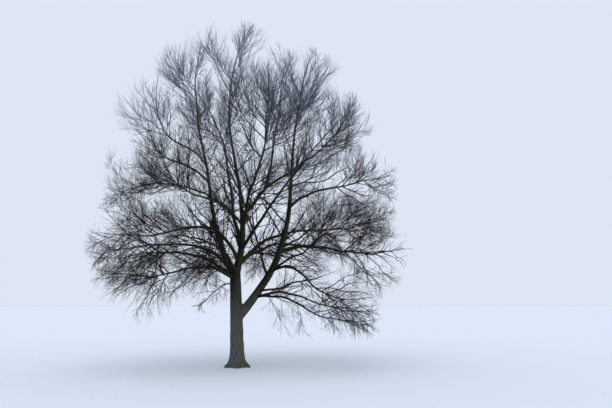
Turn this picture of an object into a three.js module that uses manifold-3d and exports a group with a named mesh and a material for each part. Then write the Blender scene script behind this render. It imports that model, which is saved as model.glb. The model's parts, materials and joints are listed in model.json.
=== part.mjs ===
// A bare broad-crowned tree in winter. Millimetres, +Z up, the cut under the trunk on z = 0.
// +X is the right of the tree as it is usually seen, and +Y is away from the viewer.
import * as THREE from 'three';
import { mergeVertices } from 'three/addons/utils/BufferGeometryUtils.js';
import Module from 'manifold-3d';

const wasm = await Module();
wasm.setup();

// Clear distance between solids that meet
const GAP = 0.3;

// Trunk: radius at breast height and at its fork, and the toes of the root flare
const TRUNK = {
  forkHeight: 4550,
  leanAtFork: -190,
  middleLean: -85,
  breastHeight: 1300,
  breastRadius: 315,
  forkRadius: 250,
  flare: 400,
  flareHeight: 235,
  toes: 6,
  toeDepth: 0.34,
  sides: 18,
  rings: 9,
  ringCrowding: 2,
};

// Limbs: sides and rings of each, and how far they swell at the fork and wander from a plain bow
const THICK_LIMB = { least: 120, sides: 9, rings: 7 };
const THIN_LIMB = { sides: 6, rings: 5 };
const COLLAR = 0.32;
const COLLAR_SPREAD = 2.4;
const WANDER = 0.014;
const SWAYS = [9, 11];
const CARRY_ON = 0.45;

// Each limb leaves its parent at a share of the parent's length. Its azimuth turns from +X to +Y, its tip is
// reach out and rise up from its foot, and sag is how far its middle hangs under the straight line.
// twigs is the stem of the mass at its tip: the turn from the limb's azimuth, and the room round the stem.
const LIMBS = [
  { name: 'leader', from: 'trunk', at: 0.93, azimuth: 0, reach: 270, rise: 2950, sag: 140, radii: [178, 120] },
  { name: 'right_limb', from: 'trunk', at: 0.49, azimuth: 350, reach: 2500, rise: 5700, sag: 600,
    radii: [212, 100] },
  { name: 'left_limb', from: 'trunk', at: 0.87, azimuth: 188, reach: 1300, rise: 4200, sag: 200,
    radii: [150, 90] },
  { name: 'leader_top', from: 'leader', at: 1, azimuth: 199, reach: 550, rise: 3200, radii: [108, 60],
    twigs: { turn: 170, reach: 600, rise: 6350, room: 3400 } },
  { name: 'leader_right', from: 'leader', at: 0.99, azimuth: 49, reach: 2300, rise: 3200, sag: 460,
    radii: [100, 56], twigs: { turn: 3, reach: 1350, rise: 6200, room: 3400 } },
  { name: 'leader_front', from: 'leader', at: 0.82, azimuth: 285, reach: 2500, rise: 2300, sag: -150,
    radii: [90, 54], twigs: { turn: -8, reach: 2100, rise: 4100, room: 2800 } },
  { name: 'leader_left', from: 'leader', at: 0.48, azimuth: 112, reach: 2200, rise: 4600, sag: 200,
    radii: [100, 58], twigs: { turn: 45, reach: 2300, rise: 4600, room: 2900 } },
  { name: 'right_cross', from: 'leader', at: 0.4, azimuth: 318, reach: 2250, rise: 2500, sag: -40,
    radii: [88, 54], twigs: { turn: 0, reach: 3600, rise: 3150, room: 2500 } },
  { name: 'right_limb_top', from: 'right_limb', at: 1, azimuth: 345, reach: 150, rise: 2500, radii: [90, 60],
    twigs: { turn: 0, reach: 900, rise: 4950, room: 2900 } },
  { name: 'left_limb_top', from: 'left_limb', at: 1, azimuth: 201, reach: 550, rise: 2600, radii: [80, 54],
    twigs: { turn: 70, reach: 800, rise: 4900, room: 2800 } },
  { name: 'left_limb_outer', from: 'left_limb_top', at: 0.5, azimuth: 190, reach: 1200, rise: 1000, sag: -150,
    radii: [50, 40], twigs: { turn: -5, reach: 1150, rise: 4000, room: 2400 } },
  { name: 'left_side', from: 'left_limb_top', at: 0.2, azimuth: 166, reach: 1900, rise: 1150, sag: -150,
    radii: [54, 40], twigs: { turn: 6, reach: 1300, rise: 2400, room: 1900 } },
  { name: 'left_upper', from: 'leader_left', at: 0.42, azimuth: 172, reach: 2500, rise: 1350, sag: -160,
    radii: [62, 42], twigs: { turn: -2, reach: 3750, rise: -450, room: 2800 } },
  { name: 'left_high', from: 'leader', at: 0.2, azimuth: 196, reach: 3050, rise: 1400, sag: -840,
    radii: [88, 48], twigs: { turn: -4, reach: 3400, rise: -200, room: 2600 } },
  { name: 'front_left', from: 'leader', at: 0.8, azimuth: 229, reach: 3050, rise: 1000, sag: -280,
    radii: [66, 42], twigs: { turn: 1, reach: 2750, rise: 2200, room: 2500 } },
  { name: 'left_low_a', from: 'trunk', at: 0.87, azimuth: 182, reach: 2750, rise: 1700, sag: -540,
    radii: [88, 48], twigs: { turn: -2, reach: 3850, rise: -450, room: 2400 } },
  { name: 'left_low_b', from: 'trunk', at: 0.89, azimuth: 157, reach: 3000, rise: 1300, sag: -260,
    radii: [88, 48], twigs: { turn: -2, reach: 3850, rise: -250, room: 2500 } },
  { name: 'left_low_c', from: 'trunk', at: 0.88, azimuth: 221, reach: 3250, rise: 300, sag: -360,
    radii: [86, 46], twigs: { turn: -3, reach: 3250, rise: -150, room: 2500 } },
  { name: 'left_droop', from: 'trunk', at: 0.85, azimuth: 226, reach: 1700, rise: -700, sag: -180,
    radii: [34, 22], twigs: { turn: -10, reach: 650, rise: -400, room: 1400 } },
  { name: 'right_low_a', from: 'right_limb', at: 0.18, azimuth: 17, reach: 2850, rise: -50, sag: -300,
    radii: [70, 40], twigs: { turn: -8, reach: 3700, rise: -550, room: 2200 } },
  { name: 'right_low_b', from: 'right_limb', at: 0.19, azimuth: 332, reach: 2600, rise: -500, sag: -260,
    radii: [62, 36], twigs: { turn: 13, reach: 3450, rise: -450, room: 2100 } },
  { name: 'right_mid_low', from: 'right_limb', at: 0.43, azimuth: 306, reach: 2600, rise: -500, sag: -400,
    radii: [70, 42], twigs: { turn: 8, reach: 3600, rise: -700, room: 2200 } },
  { name: 'right_mid', from: 'right_limb', at: 0.59, azimuth: 0, reach: 2600, rise: 150, sag: -200,
    radii: [98, 54], twigs: { turn: 0, reach: 3550, rise: 100, room: 2300 } },
  { name: 'leader_low', from: 'leader', at: 0.13, azimuth: 15, reach: 3650, rise: 1900, sag: -500,
    radii: [100, 52], twigs: { turn: -1, reach: 4650, rise: 950, room: 2800 } },
  { name: 'back_right', from: 'leader', at: 0.18, azimuth: 38, reach: 4150, rise: 1150, sag: -400,
    radii: [82, 46], twigs: { turn: 19, reach: 2700, rise: 4300, room: 2800 } },
  { name: 'right_high', from: 'right_limb', at: 0.93, azimuth: 350, reach: 1650, rise: 850, sag: -140,
    radii: [74, 48], twigs: { turn: 3, reach: 3400, rise: 700, room: 2200 } },
  { name: 'right_upper', from: 'leader_right', at: 0.58, azimuth: 359, reach: 2600, rise: 1850, sag: 20,
    radii: [70, 46], twigs: { turn: 8, reach: 1950, rise: 3300, room: 2300 } },
  { name: 'back_low', from: 'trunk', at: 0.94, azimuth: 72, reach: 3000, rise: 1200, sag: -220,
    radii: [80, 44], twigs: { turn: 5, reach: 3600, rise: 300, room: 2800 } },
  { name: 'back_left', from: 'leader', at: 0.06, azimuth: 128, reach: 3200, rise: 1800, sag: -290,
    radii: [82, 44], twigs: { turn: 1, reach: 3750, rise: 400, room: 2800 } },
  { name: 'back_high', from: 'leader', at: 0.66, azimuth: 82, reach: 2600, rise: 1850, sag: -100,
    radii: [74, 44], twigs: { turn: -10, reach: 3000, rise: 3500, room: 2800 } },
  { name: 'front_low', from: 'trunk', at: 0.96, azimuth: 252, reach: 3000, rise: 1000, sag: -220,
    radii: [80, 44], twigs: { turn: 0, reach: 3600, rise: -100, room: 2500 } },
];

// Twigs: how many leave each piece of the size above, and their length, slope and girth beside it
const STEM_SEED = 77;
const CHILD_TURNS = 1000;
const TWIG_SIDES = 3;
const STEM_RINGS = 3;
const STEM_TIP = 0.55;
const SPRAYS = [
  { count: 9, length: 0.66, spread: 0.25, fork: 44, girth: 0.48, rings: 2 },
  { count: 3, length: 0.5, spread: 0.3, fork: 42, girth: 0.48, rings: 1 },
];
const FIRST_SHARE = 0.12;
const LAST_SHARE = 0.84;
const GOLDEN_SHARE = 0.618034;
const SHARE_SWING = 0.08;
const FIRST_FACE = 30;
const FACE_TURN = 120;
const FACE_SWING = 30;
const FORK_LEAST = 0.8;
const FORK_SWING = 0.4;
const TAPER_OF_LENGTH = 0.45;
const SHORTER_TRIES = [1, 0.75, 0.5];
const ROOM_MARGIN = 25;
const LIMB_CLEARANCE = 40;
const GROUND_CLEARANCE = 1250;

// How finely limbs and twigs are compared with each other
const CHECK_PIECES = 6;
const TOUCH_POINTS = 6;

// How much twigs turn up: least at the height of the lowest boughs, most in the top
const LIFT = { lowHeight: 3000, lowLift: -0.3, highHeight: 11000, highLift: 0.75 };

const BARK = { trunk: 0x4a4a42, bough: 0x3a382f, lowTwigs: 0x3d332e, highTwigs: 0x5d6268 };
const BARK_ROUGHNESS = 0.95;

// A curve steeper than this share of upright takes +Y to lean on, and points nearer than this are one
const UPRIGHT = 0.8;
const ON_AXIS = 1e-6;
const SAME_PLACE = 1e-3;

const UP = new THREE.Vector3(0, 0, 1);
const radians = THREE.MathUtils.degToRad;
const outward = (azimuth) => new THREE.Vector3(Math.cos(radians(azimuth)), Math.sin(radians(azimuth)), 0);

// A number from 0 to 1 that a seed and a turn always give again
function chance(seed, turn) {
  let h = Math.imul(seed ^ Math.imul(turn + 1, 0x9e3779b1), 0x85ebca6b);
  h = Math.imul(h ^ (h >>> 13), 0xc2b2ae35);
  return ((h ^ (h >>> 16)) >>> 0) / 2 ** 32;
}

const childSeed = (seed, index) => Math.floor(chance(seed, CHILD_TURNS + index) * 2 ** 32) >>> 0;

// A bow from start to tip, with a small wander that leaves both ends as they are
class LimbCurve extends THREE.Curve {
  constructor(start, control, tip, seed) {
    super();
    this.bow = new THREE.QuadraticBezierCurve3(start, control, tip);
    this.span = start.distanceTo(tip);
    this.side = new THREE.Vector3().crossVectors(tip.clone().sub(start), UP).normalize();
    this.phases = [chance(seed, 0) * 2 * Math.PI, chance(seed, 1) * 2 * Math.PI];
  }

  getPoint(share, target = new THREE.Vector3()) {
    this.bow.getPoint(share, target);
    const fade = WANDER * this.span * Math.sin(Math.PI * share) ** 2;
    target.addScaledVector(this.side, fade * Math.sin(SWAYS[0] * share + this.phases[0]));
    return target.addScaledVector(UP, fade * Math.sin(SWAYS[1] * share + this.phases[1]));
  }
}

// The trunk leans a little, and its rings stay level
class TrunkCurve extends THREE.QuadraticBezierCurve3 {
  getTangent() {
    return UP.clone();
  }
}

// The curve of a limb or stem that starts from a share of its parent's length
function growFrom(parent, { at, azimuth, reach, rise, sag = 0 }, seed) {
  const start = parent.curve.getPoint(at);
  const tip = start.clone().addScaledVector(outward(azimuth), reach).addScaledVector(UP, rise);
  const span = start.distanceTo(tip);
  if (at === 1) {
    const control = start.clone().addScaledVector(parent.curve.getTangent(1), CARRY_ON * span);
    return new LimbCurve(start, control, tip, seed);
  }
  const control = start.clone().add(tip).multiplyScalar(0.5);
  control.addScaledVector(outward(azimuth), (2 * sag * rise) / span);
  control.addScaledVector(UP, (-2 * sag * reach) / span);
  return new LimbCurve(start, control, tip, seed);
}

// Two directions square to a curve at one share. The first leans to +Y on upright curves and to +Z on others.
function squareTo(curve, share, roll = 0) {
  const lean = Math.abs(curve.getTangent(0).z) < UPRIGHT ? UP : new THREE.Vector3(0, 1, 0);
  const along = curve.getTangent(share);
  const side = lean.clone().addScaledVector(along, -along.dot(lean)).normalize().applyAxisAngle(along, roll);
  return { along, side, across: new THREE.Vector3().crossVectors(side, along) };
}

// A closed tube along a curve, with its radius given by share and angle. grow widens and lengthens it.
function tubeAlong(curve, radiusAt, sides, rings, options = {}) {
  const { grow = 0, roll = 0, pointed = false, shareOf = (s) => s } = options;
  const geometry = new THREE.CylinderGeometry(pointed ? 0 : 1, 1, 1, sides, rings);
  const frames = [];
  for (let ring = 0; ring <= rings; ring += 1) {
    const share = shareOf(ring / rings);
    const { along, side, across } = squareTo(curve, share, roll);
    const overhang = grow * (ring === rings ? 1 : 0) - grow * (ring === 0 ? 1 : 0);
    frames.push({ share, centre: curve.getPoint(share).addScaledVector(along, overhang), side, across });
  }
  const spots = geometry.attributes.position;
  const spot = new THREE.Vector3();
  for (let i = 0; i < spots.count; i += 1) {
    spot.fromBufferAttribute(spots, i);
    const { share, centre, side: u, across: v } = frames[Math.round((spot.y + 0.5) * rings)];
    const angle = Math.atan2(spot.z, spot.x);
    const onAxis = Math.hypot(spot.x, spot.z) < ON_AXIS;
    const radius = onAxis ? 0 : radiusAt(share, angle) + grow / Math.cos(Math.PI / sides);
    const place = centre.clone();
    place.addScaledVector(u, radius * Math.cos(angle)).addScaledVector(v, radius * Math.sin(angle));
    spots.setXYZ(i, place.x, place.y, place.z);
  }
  return geometry;
}

function toSolid(geometry) {
  geometry.deleteAttribute('normal');
  geometry.deleteAttribute('uv');
  const merged = mergeVertices(geometry, SAME_PLACE);
  const vertProperties = new Float32Array(merged.attributes.position.array);
  const triVerts = new Uint32Array(merged.index.array);
  return new wasm.Manifold(new wasm.Mesh({ numProp: 3, vertProperties, triVerts }));
}

// A foot that shows through the far side of its parent leaves a scrap there, which is dropped
function largestPart(solid) {
  return solid.decompose().reduce((most, part) => (part.volume() > most.volume() ? part : most));
}

function toMesh(solid, name, colour) {
  const { vertProperties, triVerts } = solid.getMesh();
  const geometry = new THREE.BufferGeometry();
  geometry.setAttribute('position', new THREE.BufferAttribute(vertProperties, 3));
  geometry.setIndex(new THREE.BufferAttribute(triVerts, 1));
  geometry.computeVertexNormals();
  const material = new THREE.MeshStandardMaterial({ color: colour, roughness: BARK_ROUGHNESS, metalness: 0 });
  const mesh = new THREE.Mesh(geometry, material);
  mesh.name = name;
  return mesh;
}

// The trunk, from the flat cut on the ground to its fork
function makeTrunk() {
  const start = new THREE.Vector3(0, 0, 0);
  const tip = new THREE.Vector3(TRUNK.leanAtFork, 0, TRUNK.forkHeight);
  const control = new THREE.Vector3(2 * TRUNK.middleLean - TRUNK.leanAtFork / 2, 0, TRUNK.forkHeight / 2);
  const taper = (TRUNK.breastRadius - TRUNK.forkRadius) / (TRUNK.forkHeight - TRUNK.breastHeight);
  const radiusAt = (share, angle) => {
    const height = share * TRUNK.forkHeight;
    const toe = 1 - TRUNK.toeDepth + TRUNK.toeDepth * Math.cos(TRUNK.toes * angle);
    const flare = TRUNK.flare * Math.exp(-height / TRUNK.flareHeight) * toe;
    return TRUNK.breastRadius + taper * (TRUNK.breastHeight - height) + flare;
  };
  const curve = new TrunkCurve(start, control, tip);
  const shareOf = (s) => s ** TRUNK.ringCrowding;
  const shape = (grow) => tubeAlong(curve, radiusAt, TRUNK.sides, TRUNK.rings, { grow, shareOf });
  return { name: 'trunk', curve, radiusAt, shape };
}

// One tapering limb, with a collar where it leaves its parent
function makeLimb(row, parent, seed) {
  const curve = growFrom(parent, row, seed);
  const [foot, end] = row.radii;
  const collar = row.at === 1 ? 0 : COLLAR;
  const radiusAt = (share) => {
    const swell = collar * Math.exp((-share * curve.span) / (COLLAR_SPREAD * foot));
    return foot * (1 + swell) + (end - foot) * share;
  };
  const { sides, rings } = foot > THICK_LIMB.least ? THICK_LIMB : THIN_LIMB;
  const shape = (grow) => tubeAlong(curve, radiusAt, sides, rings, { grow });
  return { name: row.name, curve, radiusAt, shape, azimuth: row.azimuth, row };
}

const grown = [makeTrunk()];
LIMBS.forEach((row, index) => {
  grown.push(makeLimb(row, grown.find((limb) => limb.name === row.from), index + 1));
});

// The stem of each mass carries on from its limb's tip
const stems = grown
  .filter((limb) => limb.row?.twigs)
  .map((limb, index) => {
    const { turn, reach, rise, room } = limb.row.twigs;
    const seed = childSeed(STEM_SEED, index);
    const curve = growFrom(limb, { at: 1, azimuth: limb.azimuth + turn, reach, rise }, seed);
    const foot = limb.radiusAt(1);
    const radiusAt = (share) => foot * (1 - (1 - STEM_TIP) * share);
    const centre = curve.getPoint(0.5);
    return { limb, curve, radiusAt, room, seed, rings: STEM_RINGS, roll: 0, centre, length: curve.span };
  });

// True where a point is in a mass's own room: near its centre, and nearer to that than to any other
function inRoom(stem, point, radius) {
  const margin = radius + ROOM_MARGIN;
  if (point.z < GROUND_CLEARANCE || point.distanceTo(stem.centre) > stem.room - margin) {
    return false;
  }
  return stems.every((other) => {
    const apart = other.centre.distanceTo(stem.centre);
    const offset = (point.distanceToSquared(other.centre) - point.distanceToSquared(stem.centre)) / (2 * apart);
    return other === stem || offset > margin;
  });
}

// The straight pieces that stand for the limbs and the stems, for twigs to keep clear of
function piecesOf(curve, radiusAt, owner) {
  return Array.from({ length: CHECK_PIECES }, (_, i) => ({
    owner,
    radius: radiusAt(i / CHECK_PIECES, 0),
    line: new THREE.Line3(curve.getPoint(i / CHECK_PIECES), curve.getPoint((i + 1) / CHECK_PIECES)),
  }));
}
const limbPieces = [
  ...grown.flatMap((limb) => piecesOf(limb.curve, limb.radiusAt, limb)),
  ...stems.flatMap((stem) => piecesOf(stem.curve, stem.radiusAt, stem)),
];

function clearOfLimbs(stem, curve, radius) {
  const nearest = new THREE.Vector3();
  for (let i = 0; i <= TOUCH_POINTS; i += 1) {
    const point = curve.getPoint(i / TOUCH_POINTS);
    const touched = limbPieces.some((piece) => {
      piece.line.closestPointToPoint(point, true, nearest);
      const least = piece.radius + radius + LIMB_CLEARANCE;
      return piece.owner !== stem && nearest.distanceToSquared(point) < least * least;
    });
    if (touched) {
      return false;
    }
  }
  return true;
}

// The place and radius at a share of a piece of wood, on the straight run between two of its rings
function onPiece({ curve, radiusAt, rings }, share) {
  const ring = Math.min(Math.floor(share * rings), rings - 1);
  const mix = share * rings - ring;
  const start = curve.getPoint(ring / rings).lerp(curve.getPoint((ring + 1) / rings), mix);
  return { start, radius: THREE.MathUtils.lerp(radiusAt(ring / rings), radiusAt((ring + 1) / rings), mix) };
}

// The twigs that leave one piece of wood, each with its own seed
function twigsFrom(stem, parent, spray, lift) {
  const twigs = [];
  for (let index = 0; index < spray.count; index += 1) {
    const seed = childSeed(parent.seed, index);
    const golden = ((index + 0.5) * GOLDEN_SHARE + SHARE_SWING * chance(seed, 0)) % 1;
    const share = FIRST_SHARE + (LAST_SHARE - FIRST_SHARE) * golden;
    const { start, radius } = onPiece(parent, share);
    const turn = radians(FIRST_FACE + index * FACE_TURN + FACE_SWING * (chance(seed, 1) - 0.5));
    const { along, side, across } = squareTo(parent.curve, share, parent.roll);
    const fork = radians(spray.fork * (FORK_LEAST + FORK_SWING * chance(seed, 2)));
    const way = along.clone().multiplyScalar(Math.cos(fork));
    way.addScaledVector(side, Math.sin(fork) * Math.cos(turn));
    way.addScaledVector(across, Math.sin(fork) * Math.sin(turn));
    const size = 1 - spray.spread + 2 * spray.spread * chance(seed, 3);
    const whole = parent.length * spray.length * (1 - TAPER_OF_LENGTH * share) * size;
    const foot = radius * spray.girth;
    for (const shorter of SHORTER_TRIES) {
      const length = whole * shorter;
      const middle = start.clone().addScaledVector(way, length / 2);
      const tip = start.clone().addScaledVector(way, length).addScaledVector(UP, (length * lift) / 2);
      const curve = new THREE.QuadraticBezierCurve3(start, middle, tip);
      const inside = [0, 0.5, 1].every((s) => inRoom(stem, curve.getPoint(s), foot));
      if (inside && clearOfLimbs(stem, curve, foot)) {
        const radiusAt = (s) => foot * (1 - s ** spray.rings);
        twigs.push({ curve, radiusAt, length, seed, rings: spray.rings, roll: 2 * Math.PI * chance(seed, 4) });
        break;
      }
    }
  }
  return twigs;
}

// One mass: its stem, the sprays on it and the twigs on those, fused into one solid
function makeMass(stem) {
  const height = THREE.MathUtils.clamp(
    (stem.centre.z - LIFT.lowHeight) / (LIFT.highHeight - LIFT.lowHeight), 0, 1);
  const lift = LIFT.lowLift + (LIFT.highLift - LIFT.lowLift) * height;
  const stemShape = tubeAlong(stem.curve, stem.radiusAt, TWIG_SIDES, STEM_RINGS);
  const solids = [toSolid(stemShape).subtract(toSolid(stem.limb.shape(GAP)))];
  let parents = [stem];
  for (const spray of SPRAYS) {
    parents = parents.flatMap((parent) => twigsFrom(stem, parent, spray, lift));
    for (const twig of parents) {
      const { curve, radiusAt, roll } = twig;
      solids.push(toSolid(tubeAlong(curve, radiusAt, TWIG_SIDES, spray.rings, { roll, pointed: true })));
    }
  }
  const colour = new THREE.Color(BARK.lowTwigs).lerp(new THREE.Color(BARK.highTwigs), height);
  return toMesh(wasm.Manifold.union(solids), `${stem.limb.name}_twigs`, colour);
}

const group = new THREE.Group();
grown.forEach((limb, index) => {
  const whole = toSolid(limb.shape(0));
  const met = grown.slice(0, index).map((other) => toSolid(other.shape(GAP)));
  const cut = largestPart(met.reduce((solid, other) => solid.subtract(other), whole));
  const colour = limb.name === 'trunk' ? BARK.trunk : BARK.bough;
  group.add(toMesh(cut, limb.name, colour));
});
stems.forEach((stem) => group.add(makeMass(stem)));

export default group;
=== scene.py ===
import json
import math
from collections import namedtuple

import bpy
import numpy as np
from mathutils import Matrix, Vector, noise

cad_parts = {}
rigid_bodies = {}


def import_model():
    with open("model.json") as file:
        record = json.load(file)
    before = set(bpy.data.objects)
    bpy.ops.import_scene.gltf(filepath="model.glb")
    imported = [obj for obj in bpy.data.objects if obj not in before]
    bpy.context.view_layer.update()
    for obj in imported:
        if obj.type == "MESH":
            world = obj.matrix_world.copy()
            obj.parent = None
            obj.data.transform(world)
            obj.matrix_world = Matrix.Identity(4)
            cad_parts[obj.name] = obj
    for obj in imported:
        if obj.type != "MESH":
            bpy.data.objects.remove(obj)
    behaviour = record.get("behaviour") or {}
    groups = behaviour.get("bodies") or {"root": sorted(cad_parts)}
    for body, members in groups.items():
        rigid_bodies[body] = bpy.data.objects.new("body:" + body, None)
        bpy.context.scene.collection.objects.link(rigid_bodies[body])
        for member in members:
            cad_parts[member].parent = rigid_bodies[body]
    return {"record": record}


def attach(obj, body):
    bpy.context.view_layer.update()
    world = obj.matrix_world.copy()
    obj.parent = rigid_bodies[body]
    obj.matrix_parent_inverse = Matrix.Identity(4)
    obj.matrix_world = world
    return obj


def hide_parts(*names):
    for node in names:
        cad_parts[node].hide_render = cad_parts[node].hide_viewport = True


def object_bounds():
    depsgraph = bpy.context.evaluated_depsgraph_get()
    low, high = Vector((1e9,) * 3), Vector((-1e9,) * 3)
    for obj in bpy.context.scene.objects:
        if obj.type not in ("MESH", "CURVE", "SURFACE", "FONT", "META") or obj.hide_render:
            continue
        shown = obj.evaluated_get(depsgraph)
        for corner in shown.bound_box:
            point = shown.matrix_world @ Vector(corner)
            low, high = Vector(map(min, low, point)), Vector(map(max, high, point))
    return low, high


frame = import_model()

# The looks of a bare broad-crowned tree in winter. Metres, +Z up, the cut under the trunk on z = 0.
cad_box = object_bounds()

# Trunk: radius at breast height and at its fork, and the toes of the root flare
TRUNK_FORK_HEIGHT = 4.55
TRUNK_LEAN_AT_FORK = -0.19
TRUNK_MIDDLE_LEAN = -0.085
BREAST_HEIGHT = 1.3
BREAST_RADIUS = 0.315
FORK_RADIUS = 0.25
FLARE = 0.4
FLARE_HEIGHT = 0.235
TOES = 6
TOE_DEPTH = 0.34

# Limbs: how far they swell at the fork, how far and in how many turns they sway from a plain bow, and how far one
# that carries on from its parent's tip keeps the parent's way. From UPRIGHT on, a curve counts as upright.
COLLAR = 0.32
COLLAR_SPREAD = 2.4
WANDER = 0.014
SWAYS = (9, 11)
CARRY_ON = 0.45
UPRIGHT = 0.8
TANGENT_STEP = 1e-4

# Each limb leaves its parent at a share of the parent's length. Its azimuth turns from +X to +Y, its tip is
# reach out and rise up from its foot, and sag is how far its middle hangs under the straight line. foot and end
# are radii. twigs is the stem of the mass at its tip.
Limb = namedtuple("Limb", "name parent at azimuth reach rise sag foot end twigs", defaults=[None])
Twigs = namedtuple("Twigs", "turn reach rise room")
LIMBS = [
    Limb("leader", "trunk", 0.93, 0, 0.27, 2.95, 0.14, 0.178, 0.12),
    Limb("right_limb", "trunk", 0.49, 350, 2.5, 5.7, 0.6, 0.212, 0.1),
    Limb("left_limb", "trunk", 0.87, 188, 1.3, 4.2, 0.2, 0.15, 0.09),
    Limb("leader_top", "leader", 1, 199, 0.55, 3.2, 0, 0.108, 0.06, Twigs(170, 0.6, 6.35, 3.4)),
    Limb("leader_right", "leader", 0.99, 49, 2.3, 3.2, 0.46, 0.1, 0.056, Twigs(3, 1.35, 6.2, 3.4)),
    Limb("leader_front", "leader", 0.82, 285, 2.5, 2.3, -0.15, 0.09, 0.054, Twigs(-8, 2.1, 4.1, 2.8)),
    Limb("leader_left", "leader", 0.48, 112, 2.2, 4.6, 0.2, 0.1, 0.058, Twigs(45, 2.3, 4.6, 2.9)),
    Limb("right_cross", "leader", 0.4, 318, 2.25, 2.5, -0.04, 0.088, 0.054, Twigs(0, 3.6, 3.15, 2.5)),
    Limb("right_limb_top", "right_limb", 1, 345, 0.15, 2.5, 0, 0.09, 0.06, Twigs(0, 0.9, 4.95, 2.9)),
    Limb("left_limb_top", "left_limb", 1, 201, 0.55, 2.6, 0, 0.08, 0.054, Twigs(70, 0.8, 4.9, 2.8)),
    Limb("left_limb_outer", "left_limb_top", 0.5, 190, 1.2, 1, -0.15, 0.05, 0.04, Twigs(-5, 1.15, 4, 2.4)),
    Limb("left_side", "left_limb_top", 0.2, 166, 1.9, 1.15, -0.15, 0.054, 0.04, Twigs(6, 1.3, 2.4, 1.9)),
    Limb("left_upper", "leader_left", 0.42, 172, 2.5, 1.35, -0.16, 0.062, 0.042, Twigs(-2, 3.75, -0.45, 2.8)),
    Limb("left_high", "leader", 0.2, 196, 3.05, 1.4, -0.84, 0.088, 0.048, Twigs(-4, 3.4, -0.2, 2.6)),
    Limb("front_left", "leader", 0.8, 229, 3.05, 1, -0.28, 0.066, 0.042, Twigs(1, 2.75, 2.2, 2.5)),
    Limb("left_low_a", "trunk", 0.87, 182, 2.75, 1.7, -0.54, 0.088, 0.048, Twigs(-2, 3.85, -0.45, 2.4)),
    Limb("left_low_b", "trunk", 0.89, 157, 3, 1.3, -0.26, 0.088, 0.048, Twigs(-2, 3.85, -0.25, 2.5)),
    Limb("left_low_c", "trunk", 0.88, 221, 3.25, 0.3, -0.36, 0.086, 0.046, Twigs(-3, 3.25, -0.15, 2.5)),
    Limb("left_droop", "trunk", 0.85, 226, 1.7, -0.7, -0.18, 0.034, 0.022, Twigs(-10, 0.65, -0.4, 1.4)),
    Limb("right_low_a", "right_limb", 0.18, 17, 2.85, -0.05, -0.3, 0.07, 0.04, Twigs(-8, 3.7, -0.55, 2.2)),
    Limb("right_low_b", "right_limb", 0.19, 332, 2.6, -0.5, -0.26, 0.062, 0.036, Twigs(13, 3.45, -0.45, 2.1)),
    Limb("right_mid_low", "right_limb", 0.43, 306, 2.6, -0.5, -0.4, 0.07, 0.042, Twigs(8, 3.6, -0.7, 2.2)),
    Limb("right_mid", "right_limb", 0.59, 0, 2.6, 0.15, -0.2, 0.098, 0.054, Twigs(0, 3.55, 0.1, 2.3)),
    Limb("leader_low", "leader", 0.13, 15, 3.65, 1.9, -0.5, 0.1, 0.052, Twigs(-1, 4.65, 0.95, 2.8)),
    Limb("back_right", "leader", 0.18, 38, 4.15, 1.15, -0.4, 0.082, 0.046, Twigs(19, 2.7, 4.3, 2.8)),
    Limb("right_high", "right_limb", 0.93, 350, 1.65, 0.85, -0.14, 0.074, 0.048, Twigs(3, 3.4, 0.7, 2.2)),
    Limb("right_upper", "leader_right", 0.58, 359, 2.6, 1.85, 0.02, 0.07, 0.046, Twigs(8, 1.95, 3.3, 2.3)),
    Limb("back_low", "trunk", 0.94, 72, 3, 1.2, -0.22, 0.08, 0.044, Twigs(5, 3.6, 0.3, 2.8)),
    Limb("back_left", "leader", 0.06, 128, 3.2, 1.8, -0.29, 0.082, 0.044, Twigs(1, 3.75, 0.4, 2.8)),
    Limb("back_high", "leader", 0.66, 82, 2.6, 1.85, -0.1, 0.074, 0.044, Twigs(-10, 3, 3.5, 2.8)),
    Limb("front_low", "trunk", 0.96, 252, 3, 1, -0.22, 0.08, 0.044, Twigs(0, 3.6, -0.1, 2.5)),
]
MAIN_LIMBS = ["leader", "right_limb", "left_limb"]

# Twigs: how many leave each piece of the size above, and their length, slope and girth beside it. The first of
# them are the coarse ones, least is the smallest radius at the foot, and loss is the share of it gone before the tip.
Spray = namedtuple("Spray", "count coarse first length spread fork girth least loss wander rings sides")
SPRAYS = [
    Spray(30, 9, 0.12, 0.66, 0.25, 44, 0.75, 0.013, 0.6, 0.03, 7, 5),
    Spray(18, 3, 0.12, 0.5, 0.3, 42, 0.6, 0.0085, 0.5, 0.025, 3, 3),
    Spray(9, 0, 0.12, 0.85, 0.3, 30, 0.65, 0.0055, 0.4, 0.03, 2, 3),
    Spray(3, 0, 0.2, 0.85, 0.3, 26, 0.8, 0.0044, 0.0, 0, 1, 3),
]
SHOOTS = [
    Spray(20, 0, 0.25, 0.7, 0.3, 48, 0.4, 0.013, 0.6, 0.03, 6, 4),
    Spray(12, 0, 0.15, 0.55, 0.3, 40, 0.5, 0.0075, 0.5, 0.03, 3, 3),
    Spray(8, 0, 0.12, 0.85, 0.3, 30, 0.65, 0.005, 0.4, 0.03, 2, 3),
    Spray(3, 0, 0.2, 0.85, 0.3, 26, 0.8, 0.0042, 0.0, 0, 1, 3),
]

# Shoots along each main limb, and how much they turn up
INNER_SHOOTS = {"leader": 6, "right_limb": 16, "left_limb": 9}
INNER_LIFT = 0.2

# The room of a mass that has the full count of twigs, and the share of a bough whose height sets how its shoots turn
FULL_ROOM = 2.8
SHOOT_MIDDLE = 0.6

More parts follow.
